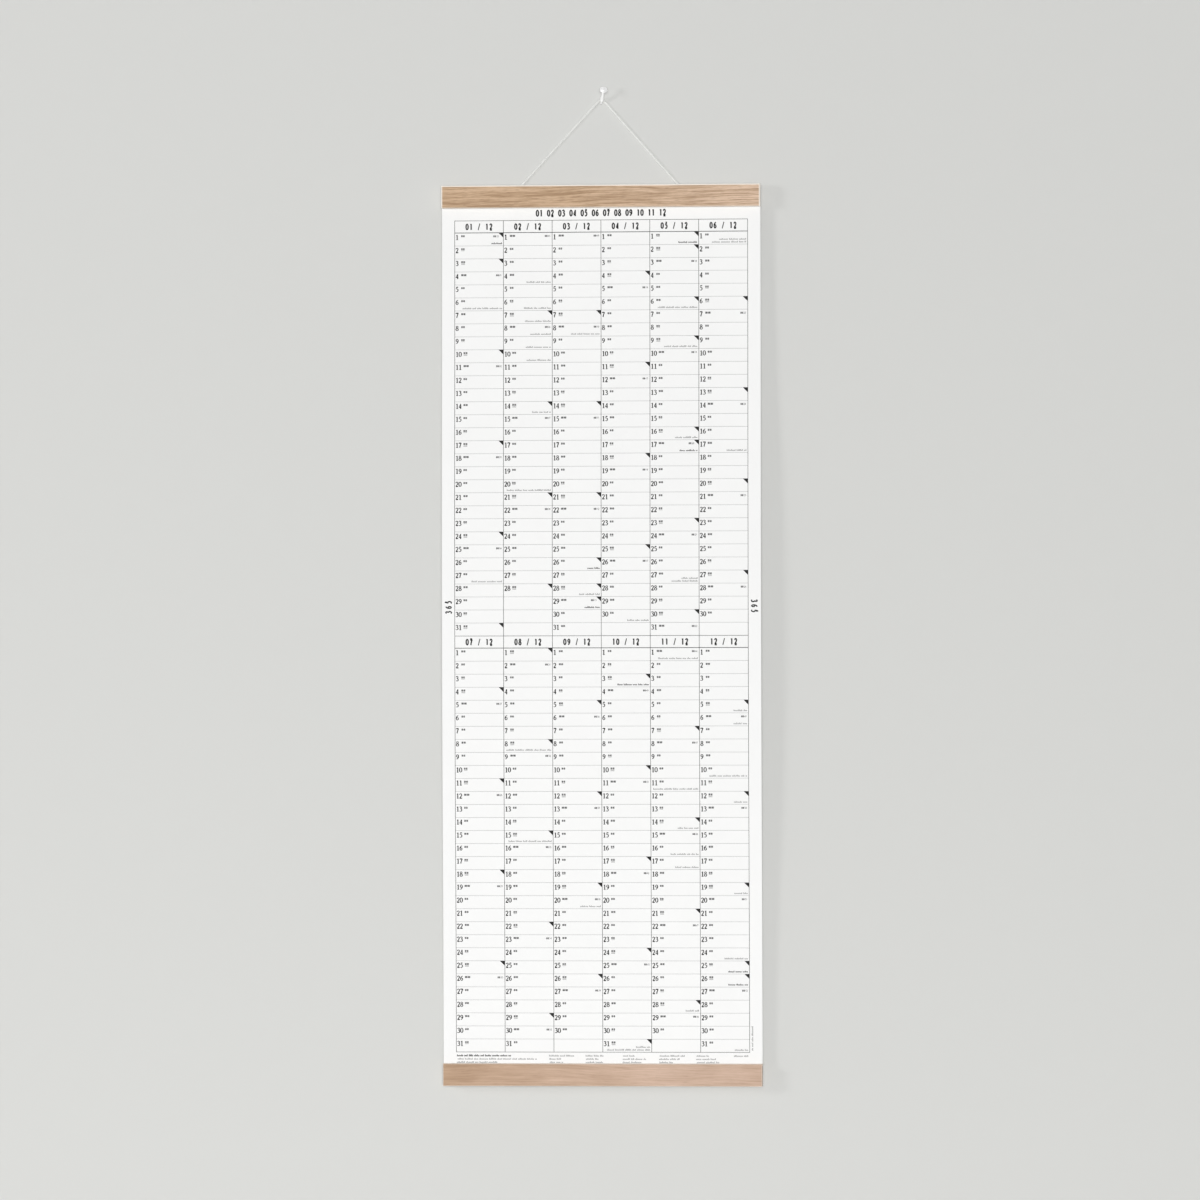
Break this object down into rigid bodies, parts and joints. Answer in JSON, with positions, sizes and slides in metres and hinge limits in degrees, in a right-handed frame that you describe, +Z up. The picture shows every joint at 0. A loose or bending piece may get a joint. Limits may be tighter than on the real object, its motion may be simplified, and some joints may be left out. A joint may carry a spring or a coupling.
{
  "type": "wall calendar",
  "caption": "Tall wall calendar: a printed year sheet clamped between wooden slats by hidden magnets, hung from a push pin on a knotted cord.",
  "frame": {"origin": "the point where the pin's needle enters the wall, on the wall's face", "axes": "+X to the right as seen from the front, +Y into the wall, +Z up; the calendar's printed face looks along -Y"},
  "size_m": [0.3, 0.0286, 0.9385],
  "materials": {
    "paper": "matt uncoated white paper, printed in black and grey",
    "oak": "fine sanded oak, oiled matt",
    "cord": "off-white twisted cotton cord",
    "pin_white": "glossy white moulded plastic",
    "needle": "bright drawn steel",
    "magnet": "bright nickel plating"
  },
  "bodies": {
    "pin": {"pin_body": "pin_white", "pin_needle": "needle"},
    "calendar": {"calendar_sheet": "paper", "top_rear_slat": "oak", "bottom_rear_slat": "oak", "top_rear_magnet_1": "magnet", "top_rear_magnet_2": "magnet", "top_rear_magnet_3": "magnet", "top_rear_magnet_4": "magnet", "bottom_rear_magnet_1": "magnet", "bottom_rear_magnet_2": "magnet", "bottom_rear_magnet_3": "magnet", "bottom_rear_magnet_4": "magnet", "hanging_cord": "cord", "cord_knot_left": "cord", "cord_knot_right": "cord"},
    "upper_clamp": {"top_front_slat": "oak", "top_front_magnet_1": "magnet", "top_front_magnet_2": "magnet", "top_front_magnet_3": "magnet", "top_front_magnet_4": "magnet"},
    "lower_clamp": {"bottom_front_slat": "oak", "bottom_front_magnet_1": "magnet", "bottom_front_magnet_2": "magnet", "bottom_front_magnet_3": "magnet", "bottom_front_magnet_4": "magnet"}
  },
  "joints": [
    {"name": "sway", "type": "hinge", "parent": "pin", "child": "calendar", "pos_m": [0.00031, -0.0013, 0.00113], "axis": [0, 1, 0], "range_deg": [-12, 12]},
    {"name": "upper_clamp_pull", "type": "slide", "parent": "calendar", "child": "upper_clamp", "axis": [0, -1, 0], "range_m": [0, 0.03]},
    {"name": "lower_clamp_pull", "type": "slide", "parent": "calendar", "child": "lower_clamp", "axis": [0, -1, 0], "range_m": [0, 0.03]}
  ]
}
